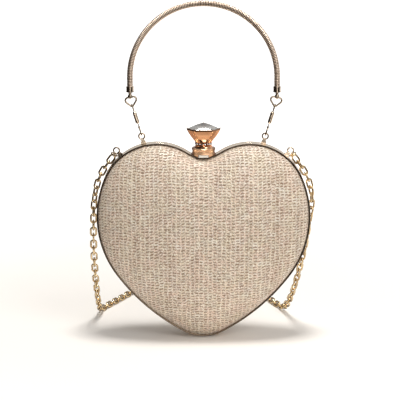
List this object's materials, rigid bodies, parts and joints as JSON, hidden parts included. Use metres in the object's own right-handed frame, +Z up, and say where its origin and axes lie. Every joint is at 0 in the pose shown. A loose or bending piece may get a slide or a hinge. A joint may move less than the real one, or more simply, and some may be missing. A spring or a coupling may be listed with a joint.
{
  "type": "heart shaped purse",
  "caption": "Heart shaped hard evening purse with two domed cloth covered halves hinged at the tip, a jewelled lever clasp, a ribbed arch handle on wire links and a shoulder chain.",
  "frame": {"origin": "middle of the handle tube at the top of its arch, where a hand or hook holds the purse", "axes": "+Z up, towards the handle; +X to the wearer's right as the front is seen; front of the purse faces -Y"},
  "size_m": [0.1818, 0.2581, 0.2705],
  "materials": {
    "frame_gold": "polished pale gold plating",
    "woven_cover": "champagne woven cloth with metallic thread",
    "pan_plastic": "stiff moulded pan, hidden",
    "lining_cloth": "smooth satin lining",
    "rose_metal": "polished rose gold plating",
    "steel": "plain steel",
    "stone": "clear cut glass with a foil back",
    "bead_metal": "dark plated beads",
    "handle_metal": "satin pale gold plating",
    "ferrule_metal": "darkened plating",
    "chain_gold": "yellow gold plating"
  },
  "bodies": {
    "handle": {"handle_tube": "handle_metal", "handle_core": "steel", "ferrule_left": "ferrule_metal", "ferrule_right": "ferrule_metal", "heart_ring_left": "handle_metal", "heart_ring_right": "handle_metal"},
    "left_link": {"link_wire_left": "handle_metal", "link_sleeve_left": "handle_metal"},
    "right_link": {"link_wire_right": "handle_metal", "link_sleeve_right": "handle_metal"},
    "back_half": {"frame_back": "frame_gold", "pan_back": "pan_plastic", "cover_back": "woven_cover", "lining_back": "lining_cloth", "handle_lug_left": "frame_gold", "handle_lug_right": "frame_gold", "chain_lug_left": "frame_gold", "chain_lug_right": "frame_gold", "clasp_base": "rose_metal", "clasp_screws": "steel", "clasp_pin": "steel", "clasp_spring": "steel", "hinge_leaf_back": "frame_gold", "hinge_pin": "steel", "hinge_rivets_back": "steel", "gusset_left": "lining_cloth", "gusset_right": "lining_cloth", "chain_end_left": "chain_gold", "chain_end_right": "chain_gold", "chain_1": "chain_gold", "chain_2": "chain_gold", "chain_3": "chain_gold", "chain_4": "chain_gold", "chain_5": "chain_gold", "chain_6": "chain_gold", "chain_7": "chain_gold", "chain_8": "chain_gold"},
    "front_half": {"frame_front": "frame_gold", "pan_front": "pan_plastic", "cover_front": "woven_cover", "lining_front": "lining_cloth", "striker_plate": "rose_metal", "catch_spring": "steel", "striker_rivets": "steel", "hinge_leaf_front": "frame_gold", "hinge_rivets_front": "steel"},
    "gem": {"lever_stem": "rose_metal", "jewel_cup": "rose_metal", "jewel_stone": "stone", "jewel_claws": "rose_metal", "neck_beads": "bead_metal"}
  },
  "joints": [
    {"name": "left_link_swing", "type": "hinge", "parent": "handle", "child": "left_link", "pos_m": [-0.05619, 0, -0.08129], "axis": [1, 0, 0], "range_deg": [-45, 45]},
    {"name": "right_link_swing", "type": "hinge", "parent": "handle", "child": "right_link", "pos_m": [0.05619, 0, -0.08129], "axis": [1, 0, 0], "range_deg": [-45, 45]},
    {"name": "bag_swing", "type": "hinge", "parent": "left_link", "child": "back_half", "pos_m": [-0.04952, 0, -0.10289], "axis": [1, 0, 0], "range_deg": [-60, 60]},
    {"name": "bag_open", "type": "hinge", "parent": "back_half", "child": "front_half", "pos_m": [0, -0.00128, -0.2658], "axis": [1, 0, 0], "range_deg": [0, 75], "deforming": ["gusset_left", "gusset_right", "catch_spring"]},
    {"name": "gem_tilt", "type": "hinge", "parent": "back_half", "child": "gem", "pos_m": [0, -0.00128, -0.11601], "axis": [1, 0, 0], "range_deg": [-15, 0], "stiffness_Nm_per_rad": 0.04, "springref_deg": 22.92}
  ],
  "couplings": [
    {"joint": "right_link_swing", "follows": "left_link_swing", "ratio": 1}
  ]
}
